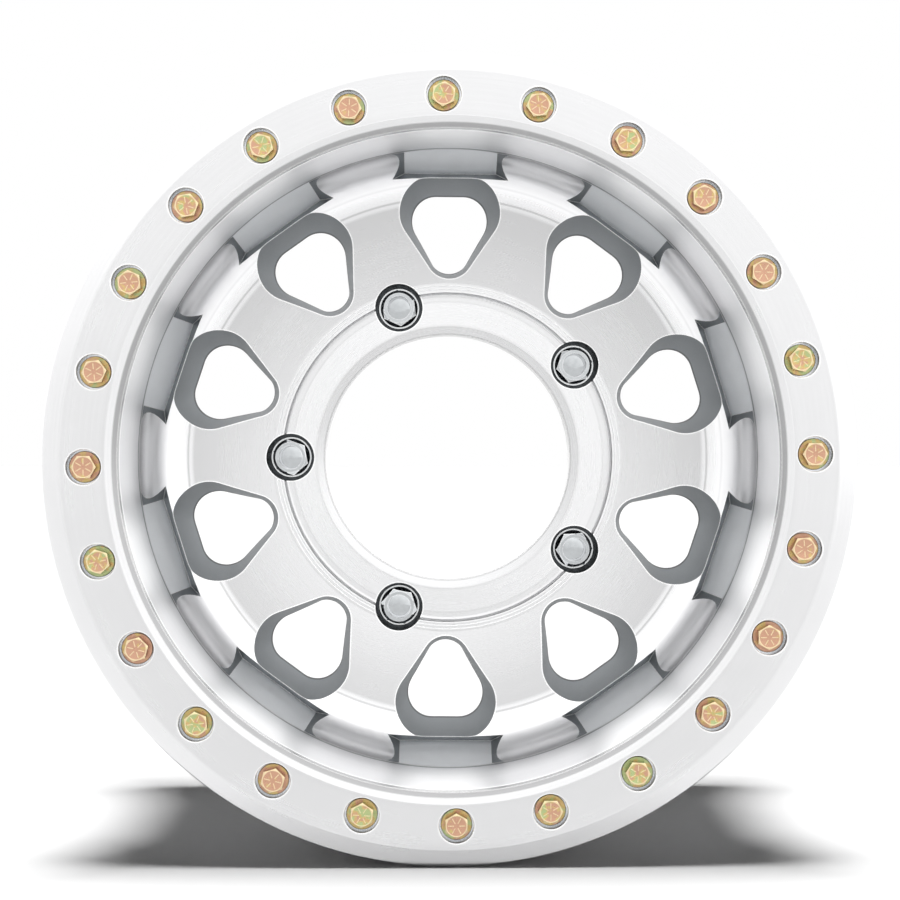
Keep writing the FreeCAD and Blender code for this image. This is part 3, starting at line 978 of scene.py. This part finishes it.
def casting_finishes():
    """The casting's materials, in the order of MACHINED to SHADED_BORE."""
    colours = finishes()
    slope = math.tan(SPOKE_SLOPE)
    back_on_axis = wheel().pad_depth / MM - SPOKE_STEP + (pad_radius() + SPOKE_STEP) * slope
    return [
        turned_aluminium("turned_aluminium_wheel", 0.26, CASTING_LIGHT_AND_SHADE, STEP_SHADE_DEPTHS),
        # The windows' walls carry painted shade along the spokes' back face.
        cast_aluminium("cast_aluminium_wall", colours.cast_wall, 0.05, (back_on_axis, slope)),
        # The pockets' floors: the cast metal painted far lighter, as painted light.
        cast_aluminium("cast_aluminium_floor_painted_light", colours.cast_floor_painted_light, 0.04),
        cast_aluminium("cast_aluminium_corner", colours.cast_corner, 0.05),
        # Sockets and holes painted near black: painted shade.
        shaded_bore_aluminium("bored_aluminium_hub", "#2C2F31", "#4A4E51"),
    ]


def build_casting():
    """Turns the casting, cuts its windows, pockets, sockets and holes, and gives each face its finish."""
    size = wheel()
    bolts = fasteners()
    spans = casting_spans()
    item = new_object("wheel_casting_turned", turned_mesh("wheel_casting_turned", spans))
    window_turns = around(size.window_count, WINDOW_START)
    reach = size.pad_depth / MM + WINDOW_PAST_PAD - WINDOW_FRONT
    levels = [window_loop(WINDOW_FRONT + reach * i / (WINDOW_LEVELS - 1)) for i in range(WINDOW_LEVELS)]
    cut_all(item, [
        prism_mesh("windows", levels, CUT_WINDOW, window_turns),
        prism_mesh("pockets", pocket_loops(), CUT_CORNER, window_turns, CUT_POCKET),
        prism_mesh("lugs", lug_loops(), CUT_LUG, around(bolts.nut_count, bolts.nut_start)),
        prism_mesh("thread_holes", tapped_loops(), CUT_HOLE, around(bolts.bolt_count, bolts.bolt_start)),
        prism_mesh("valve_hole", valve_loops(), CUT_HOLE, around(1, math.radians(90))),
    ])
    true_normals(item, spans)
    finish_by_tag(item, casting_finishes(), {
        CUT_WINDOW: CAST_WALL, CUT_POCKET: CAST_FLOOR_PAINTED_LIGHT, CUT_CORNER: CAST_CORNER,
        CUT_LUG: SHADED_BORE, CUT_HOLE: SHADED_BORE})
    return item


def build_ring():
    """Turns the beadlock ring and sinks a counterbored hole for each bolt."""
    size = wheel()
    bolts = fasteners()
    seat = size.bead_seat_diameter / 2 / MM
    rim = seat + size.flange_height / MM
    bore = size.barrel_radius / MM - BARREL_STEP
    thick = (size.overall_width - size.rim_width) / 2 / MM
    recess = thick - RING_RECESS
    bevel = bore + RING_CHAMFER_WIDTH
    # Each corner's radius, depth and fillet.
    spans = rounded_spans([
        (bore, RING_CHAMFER_DEPTH, 0.3),
        (bevel, RING_BEVEL_DEPTH, 0.8),
        (bevel + RING_BEVEL_WIDTH, 0, 0.4),
        (rim - RIM_BEVEL_WIDTH, 0, 0.6),
        (rim, RIM_BEVEL_DEPTH, 1.6),
        (rim, thick - RIM_BACK_DEPTH, 1.6),
        (rim - RIM_BACK_WIDTH, thick, 4),
        (seat + SEAT_CLEARANCE, thick, 0),
        (seat + SEAT_CLEARANCE, recess, 0),
        (bore + RECESS_LEAD, recess, 0),
        (bore, recess - RECESS_LEAD, 0),
    ])
    item = new_object("beadlock_ring_turned", turned_mesh("beadlock_ring_turned", spans))
    sink = bolts.washer_diameter / 2 / MM + SINK_CLEARANCE
    rings = ((sink + SINK_CHAMFER + 1, -1), (sink, SINK_CHAMFER), (sink, SINK_DEPTH),
             (BOLT_HOLE_RADIUS, SINK_DEPTH), (BOLT_HOLE_RADIUS, thick + 1))
    loops = [circle_loop(bolts.bolt_circle / MM, radius, depth, SINK_SIDES) for radius, depth in rings]
    tags = [CUT_EDGE, CUT_HOLE, CUT_EDGE, CUT_HOLE]
    turns = around(bolts.bolt_count, bolts.bolt_start)
    cut_all(item, [prism_mesh("counterbores", loops, CUT_HOLE, turns, level_tags=tags)])
    true_normals(item, spans)
    # Painted light and shade by radius: the chamfer painted dark, the inner bevel, the face, and the outer
    # bevel painted lighter.
    face = turned_aluminium("turned_aluminium_ring", 0.24, [
        (bore, 0.40), (bore + 3, 0.42), (bore + 3.5, 0.76), (bore + 6.4, 0.78),
        (bore + 7, 0.69), (bore + 9, 0.72), (rim - 11, 0.72), (rim - 10, 0.82), (rim, 0.84)])
    # Counterbores painted a darker grey: painted shade.
    bored = shaded_bore_aluminium("bored_aluminium_ring", "#5E646A", "#9BA1A7")
    finish_by_tag(item, [face, bored], {CUT_HOLE: 1})
    return item


def smoothed(name, work):
    """A mesh from bmesh data, smooth apart from its hard edges."""
    mesh = bpy.data.meshes.new(name)
    work.to_mesh(mesh)
    work.free()
    for polygon in mesh.polygons:
        polygon.use_smooth = True
    mesh.set_sharp_from_angle(angle=SHARP_SPUN)
    return mesh


def spun_rings(name, rings, sides, hollow=False):
    """A closed skin through rings: each a (radius, y), or a function of angle that returns them, in mm."""
    work = bmesh.new()
    levels = []
    for ring in rings:
        level = []
        for i in range(sides):
            turn = 2 * math.pi * i / sides
            radius, y = ring(turn) if callable(ring) else ring
            place = (radius * math.cos(turn) * MM, y * MM, radius * math.sin(turn) * MM)
            level.append(work.verts.new(place))
        levels.append(level)
    for lower, upper in zip(levels, levels[1:] + levels[:1] if hollow else levels[1:]):
        for i in range(sides):
            j = (i + 1) % sides
            work.faces.new((lower[i], lower[j], upper[j], upper[i]))
    if not hollow:
        work.faces.new(levels[0])
        work.faces.new(list(reversed(levels[-1])))
    face_out(work)
    return smoothed(name, work)


def hex_ring(width, y, start=0, slope=0):
    """A hexagon's outline for spun_rings, where a cone that starts at a radius crosses its sides."""
    def ring(turn):
        radius = width / 2 / math.cos((turn + math.pi / 6) % (math.pi / 3) - math.pi / 6)
        return radius, y + (radius - start) * slope

    return ring


def add_grade_mark(work, angle, y):
    """Adds one raised radial line of a bolt's strength grade."""
    line = bmesh.new()
    bmesh.ops.create_cube(line, size=1.0)
    scale = ((MARK_END - MARK_START) * MM, MARK_THICKNESS * MM, MARK_WIDTH * MM)
    bmesh.ops.scale(line, vec=scale, verts=line.verts)
    bmesh.ops.translate(line, vec=((MARK_START + MARK_END) / 2 * MM, y * MM, 0), verts=line.verts)
    bmesh.ops.rotate(line, cent=(0, 0, 0), matrix=Matrix.Rotation(angle, 3, "Y"), verts=line.verts)
    bmesh.ops.bevel(line, geom=line.edges[:], offset=MARK_BEVEL * MM, segments=1, affect="EDGES")
    mesh = bpy.data.meshes.new("grade_mark")
    line.to_mesh(mesh)
    line.free()
    work.from_mesh(mesh)
    bpy.data.meshes.remove(mesh)


def random_value(tree, seed):
    """A random value from 0 to 1 for each point."""
    values = {"Min": 0.0, "Max": 1.0, "Seed": seed}
    node = add_node(tree, "FunctionNodeRandomValue", values, data_type="FLOAT")
    return [socket for socket in node.outputs if socket.type == "VALUE" and socket.enabled][0]


def repeat_tree():
    """A node tree that sets copies of a mesh round the wheel, each turned and toned at random."""
    tree = bpy.data.node_groups.new("set_round_the_wheel", "GeometryNodeTree")
    kinds = {
        "Geometry": "Geometry", "Count": "Int", "Circle Radius": "Float", "First Angle": "Float",
        "Turn Range": "Float", "Seed": "Int", "Finish": "Material",
    }
    for name, kind in kinds.items():
        tree.interface.new_socket(name, in_out="INPUT", socket_type="NodeSocket" + kind)
    tree.interface.new_socket("Geometry", in_out="OUTPUT", socket_type="NodeSocketGeometry")
    given = add_node(tree, "NodeGroupInput").outputs
    points = add_node(tree, "GeometryNodePoints", {"Count": given["Count"]}).outputs[0]
    number = add_node(tree, "GeometryNodeInputIndex").outputs[0]
    step = maths(tree, "DIVIDE", 2 * math.pi, given["Count"])
    angle = maths(tree, "ADD", maths(tree, "MULTIPLY", number, step), given["First Angle"])
    across = maths(tree, "MULTIPLY", maths(tree, "COSINE", angle), given["Circle Radius"])
    up = maths(tree, "MULTIPLY", maths(tree, "SINE", angle), given["Circle Radius"])
    place = add_node(tree, "ShaderNodeCombineXYZ", {"X": across, "Z": up}).outputs[0]
    placed = add_node(tree, "GeometryNodeSetPosition", {"Geometry": points, "Position": place}).outputs[0]
    twist = maths(tree, "MULTIPLY", random_value(tree, given["Seed"]), given["Turn Range"])
    rotation = add_node(tree, "ShaderNodeCombineXYZ", {"Y": maths(tree, "SUBTRACT", twist, angle)}).outputs[0]
    copies = add_node(tree, "GeometryNodeInstanceOnPoints", {
        "Points": placed, "Instance": given["Geometry"], "Rotation": rotation}).outputs[0]
    toned = add_node(tree, "GeometryNodeStoreNamedAttribute", {
        "Geometry": copies, "Name": TONE}, data_type="FLOAT", domain="INSTANCE")
    value = [socket for socket in toned.inputs if socket.name == "Value" and socket.enabled][0]
    tree.links.new(random_value(tree, maths(tree, "ADD", given["Seed"], 7.0)), value)
    real = add_node(tree, "GeometryNodeRealizeInstances", {"Geometry": toned.outputs[0]}).outputs[0]
    painted = add_node(tree, "GeometryNodeSetMaterial", {"Geometry": real, "Material": given["Finish"]})
    add_node(tree, "NodeGroupOutput", {"Geometry": painted.outputs[0]})
    return tree


def set_round(name, mesh, values):
    """Runs the repeat tree on one mesh and keeps the result as a plain mesh."""
    tree = bpy.data.node_groups.get("set_round_the_wheel") or repeat_tree()
    item = new_object(name, mesh)
    change = item.modifiers.new("repeat", "NODES")
    change.node_group = tree
    sockets = {s.name: s.identifier for s in tree.interface.items_tree if s.in_out == "INPUT"}
    for key, value in values.items():
        change[sockets[key]] = value
    item.data = evaluated_mesh(item, change)
    item.data.name = name
    return item


def ring_places():
    """The repeat tree's values for what stands at each of the ring's holes."""
    bolts = fasteners()
    return {"Count": bolts.bolt_count, "Circle Radius": bolts.bolt_circle, "First Angle": bolts.bolt_start}


def build_ring_bolts():
    """The ring's hexagon bolts: chamfered heads with raised grade lines, and plain shanks."""
    colours = finishes()
    width = fasteners().bolt_width / MM
    front = front_y()
    land = HEAD_LAND_SHARE * width
    under = front + HEAD_HEIGHT
    tip = under + SHANK_LENGTH
    work = bmesh.new()
    work.from_mesh(spun_rings("bolt", [
        (SHANK_RADIUS - SHANK_CHAMFER, tip), (SHANK_RADIUS, tip - SHANK_CHAMFER), (SHANK_RADIUS, under),
        hex_ring(width, under), hex_ring(width, front, land, HEX_CHAMFER), (land, front),
        (land - HEAD_DISH_WIDTH, front + HEAD_DISH_DEPTH),
    ], SPUN_SIDES))
    for index in range(MARK_COUNT):
        add_grade_mark(work, 2 * math.pi * index / MARK_COUNT, front + MARK_THICKNESS / 2)
    mesh = smoothed("ring_bolt", work)
    worn = mesh.attributes.new(WORN, "FLOAT", "FACE")
    for face in mesh.polygons:
        reach = math.hypot(face.center.x, face.center.z) / MM
        deep = face.center.y / MM - front
        raised = deep < WORN_DEPTH or (reach > land and deep < WORN_CORNER_DEPTH)
        worn.data[face.index].value = WEAR * float(raised)
    plating = yellow_zinc("yellow_zinc_bolts", [
        (0.48, colours.zinc_green), (0.62, colours.zinc_gold),
        (0.76, colours.zinc_rose), (0.95, colours.zinc_rose)])
    return set_round("ring_bolts_plated", mesh, {
        **ring_places(), "Turn Range": math.pi / 3, "Seed": 5, "Finish": plating})


def build_ring_washers():
    """The plain washers under the bolt heads, with eased edges."""
    colours = finishes()
    top = front_y() + HEAD_HEIGHT
    foot = top + WASHER_THICKNESS
    outer = fasteners().washer_diameter / 2 / MM
    mesh = spun_rings("ring_washer", [
        (BOLT_HOLE_RADIUS, top), (outer - WASHER_EDGE, top), (outer, top + WASHER_EDGE), (outer, foot),
        (BOLT_HOLE_RADIUS, foot),
    ], WASHER_SIDES, hollow=True)
    plating = yellow_zinc("yellow_zinc_washers", [
        (0.50, colours.zinc_green), (0.68, colours.zinc_gold),
        (0.80, colours.zinc_gold), (0.98, colours.zinc_rose)])
    return set_round("ring_washers_plated", mesh, {
        **ring_places(), "Turn Range": 1.0, "Seed": 11, "Finish": plating})


def build_lug_nuts():
    """The closed lug nuts: domed ends, chamfered hexagons, flanges and cone seats."""
    nuts = fasteners()
    width = nuts.nut_width / MM
    seat = front_y() + socket_floor() - NUT_LIFT
    flange = seat - NUT_FLANGE
    top = flange - NUT_HEIGHT
    land = NUT_LAND_SHARE * width
    shoulder = SEAT_RADIUS - NUT_FLANGE_LAND
    end = seat + NUT_CONE_LENGTH
    mesh = spun_rings("lug_nut", [
        (NUT_THREAD_RADIUS, top + NUT_THREAD_TOP), (NUT_THREAD_RADIUS, end), (NUT_CONE_RADIUS, end),
        (SEAT_RADIUS, seat), (SEAT_RADIUS, flange + NUT_FLANGE_EDGE), (SEAT_RADIUS - NUT_FLANGE_EDGE, flange),
        (shoulder, flange), hex_ring(width, flange, shoulder, 1), hex_ring(width, top, land, HEX_CHAMFER),
        (land, top),
    ] + [(radius, top - rise) for radius, rise in NUT_DOME], SPUN_SIDES)
    return set_round("lug_nuts_chromed", mesh, {
        "Count": nuts.nut_count, "Circle Radius": nuts.nut_circle, "First Angle": nuts.nut_start,
        "Turn Range": math.pi / 3, "Seed": 3, "Finish": bright_chrome()})


def studio_world():
    """A white studio: the camera sees plain white, metal sees it a little brighter up and to the right."""
    setup = stage()
    world = bpy.data.worlds.new("white_studio")
    world.use_nodes = True
    tree = world.node_tree
    background = tree.nodes["Background"]
    direction = add_node(tree, "ShaderNodeTexCoord").outputs["Generated"]
    towards = add_node(tree, "ShaderNodeVectorMath", {0: direction, 1: BRIGHT_SIDE}, operation="DOT_PRODUCT")
    dark, bright = setup.backdrop * DARK_SHARE, setup.backdrop * BRIGHT_SHARE
    sheen = remap(tree, towards.outputs["Value"], -0.6, 0.3, dark, bright)
    rays = add_node(tree, "ShaderNodeLightPath").outputs
    # Light that has bounced off a matt face sees the weak fill instead, so that shadows stay deep.
    dim = blend(tree, rays["Diffuse Depth"], sheen, setup.fill)
    tree.links.new(blend(tree, rays["Is Camera Ray"], dim, 1.0), background.inputs["Strength"])
    background.inputs["Color"].default_value = WHITE
    return world


def build_floor():
    """A white sweep under the wheel."""
    low = cad_bounds[0][2]
    mesh = bpy.data.meshes.new("studio_floor")
    corners = [(x * FLOOR_REACH, y * FLOOR_REACH, low) for x, y in ((-1, -1), (1, -1), (1, 1), (-1, 1))]
    mesh.from_pydata(corners, [], [(0, 1, 2, 3)])
    mesh.materials.append(studio_floor())
    floor = new_object("studio_floor", mesh)


def build_light():
    """A soft light overhead that the metal doesn't mirror."""
    setup = stage()
    data = bpy.data.lights.new("overhead_light", "SUN")
    data.energy = setup.overhead
    data.angle = setup.overhead_spread
    new_object("overhead_light", data).visible_glossy = False


def build_camera():
    """The camera in front of the wheel, a little left of and above its axis."""
    setup = stage()
    data = bpy.data.cameras.new("camera")
    data.sensor_width = SENSOR_WIDTH
    data.lens = setup.focal_length
    camera = new_object("camera", data)
    front = -wheel().overall_width / 2
    camera.location = (-setup.camera_left, front - setup.camera_distance, setup.camera_up)
    aim = Vector((PICTURE_RIGHT, PICTURE_SCALE, -PICTURE_DOWN))
    camera.rotation_euler = aim.to_track_quat("-Z", "Y").to_euler()
    bpy.context.scene.camera = camera


def build_stage():
    """The floor, the studio's light and the camera."""
    build_floor()
    bpy.context.scene.world = studio_world()
    build_light()
    build_camera()
    bpy.context.scene.view_settings.view_transform = "Standard"


def place(item, node, slot):
    """Lets a finished piece stand for its CAD node and ride with the wheel."""
    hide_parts(node)
    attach(item, "root")
    return {"FINISHED"}


class WHEEL_OT_casting(bpy.types.Operator):
    """Build the wheel casting"""
    bl_idname = "wheel.casting"
    bl_label = "Wheel casting"

    def execute(self, context):
        return place(build_casting(), "wheel_casting", "wheel_aluminium")


class WHEEL_OT_ring(bpy.types.Operator):
    """Build the beadlock ring"""
    bl_idname = "wheel.ring"
    bl_label = "Beadlock ring"

    def execute(self, context):
        return place(build_ring(), "beadlock_ring", "ring_aluminium")


class WHEEL_OT_ring_bolts(bpy.types.Operator):
    """Build the bolts of the beadlock ring"""
    bl_idname = "wheel.ring_bolts"
    bl_label = "Ring bolts"

    def execute(self, context):
        return place(build_ring_bolts(), "ring_bolts", "bolt_zinc")


class WHEEL_OT_ring_washers(bpy.types.Operator):
    """Build the washers under the ring's bolts"""
    bl_idname = "wheel.ring_washers"
    bl_label = "Ring washers"

    def execute(self, context):
        return place(build_ring_washers(), "ring_washers", "washer_zinc")


class WHEEL_OT_lug_nuts(bpy.types.Operator):
    """Build the closed lug nuts"""
    bl_idname = "wheel.lug_nuts"
    bl_label = "Lug nuts"

    def execute(self, context):
        return place(build_lug_nuts(), "lug_nuts", "nut_chrome")


class WHEEL_OT_stage(bpy.types.Operator):
    """Set the floor, the lights and the camera"""
    bl_idname = "wheel.stage"
    bl_label = "Studio"

    def execute(self, context):
        build_stage()
        return {"FINISHED"}


class WHEEL_PT_panel(bpy.types.Panel):
    """Sizes, finishes and the pieces of the wheel"""
    bl_idname = "WHEEL_PT_panel"
    bl_label = "Beadlock wheel"
    bl_space_type = "VIEW_3D"
    bl_region_type = "UI"
    bl_category = "Wheel"

    def draw(self, context):
        scene = context.scene
        for group in (scene.wheel_sizes, scene.wheel_fasteners, scene.wheel_finishes, scene.wheel_stage):
            box = self.layout.box()
            for name in group.__annotations__:
                box.prop(group, name)
        for operator in OPERATORS:
            self.layout.operator(operator.bl_idname)


OPERATORS = (WHEEL_OT_casting, WHEEL_OT_ring, WHEEL_OT_ring_bolts, WHEEL_OT_ring_washers, WHEEL_OT_lug_nuts,
             WHEEL_OT_stage)
GROUPS = {
    "wheel_sizes": WheelSizes,
    "wheel_fasteners": FastenerSizes,
    "wheel_finishes": Finishes,
    "wheel_stage": StageSettings,
}


def register():
    for group in GROUPS.values():
        bpy.utils.register_class(group)
    for name, group in GROUPS.items():
        setattr(bpy.types.Scene, name, PointerProperty(type=group))
    for operator in OPERATORS:
        bpy.utils.register_class(operator)
    bpy.utils.register_class(WHEEL_PT_panel)


def unregister():
    bpy.utils.unregister_class(WHEEL_PT_panel)
    for operator in reversed(OPERATORS):
        bpy.utils.unregister_class(operator)
    for name in GROUPS:
        delattr(bpy.types.Scene, name)
    for group in GROUPS.values():
        bpy.utils.unregister_class(group)


def main():
    """Registers the add-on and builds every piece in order."""
    register()
    bpy.ops.wheel.casting()
    bpy.ops.wheel.ring()
    bpy.ops.wheel.ring_bolts()
    bpy.ops.wheel.ring_washers()
    bpy.ops.wheel.lug_nuts()
    bpy.ops.wheel.stage()


if __name__ == "__main__":
    main()
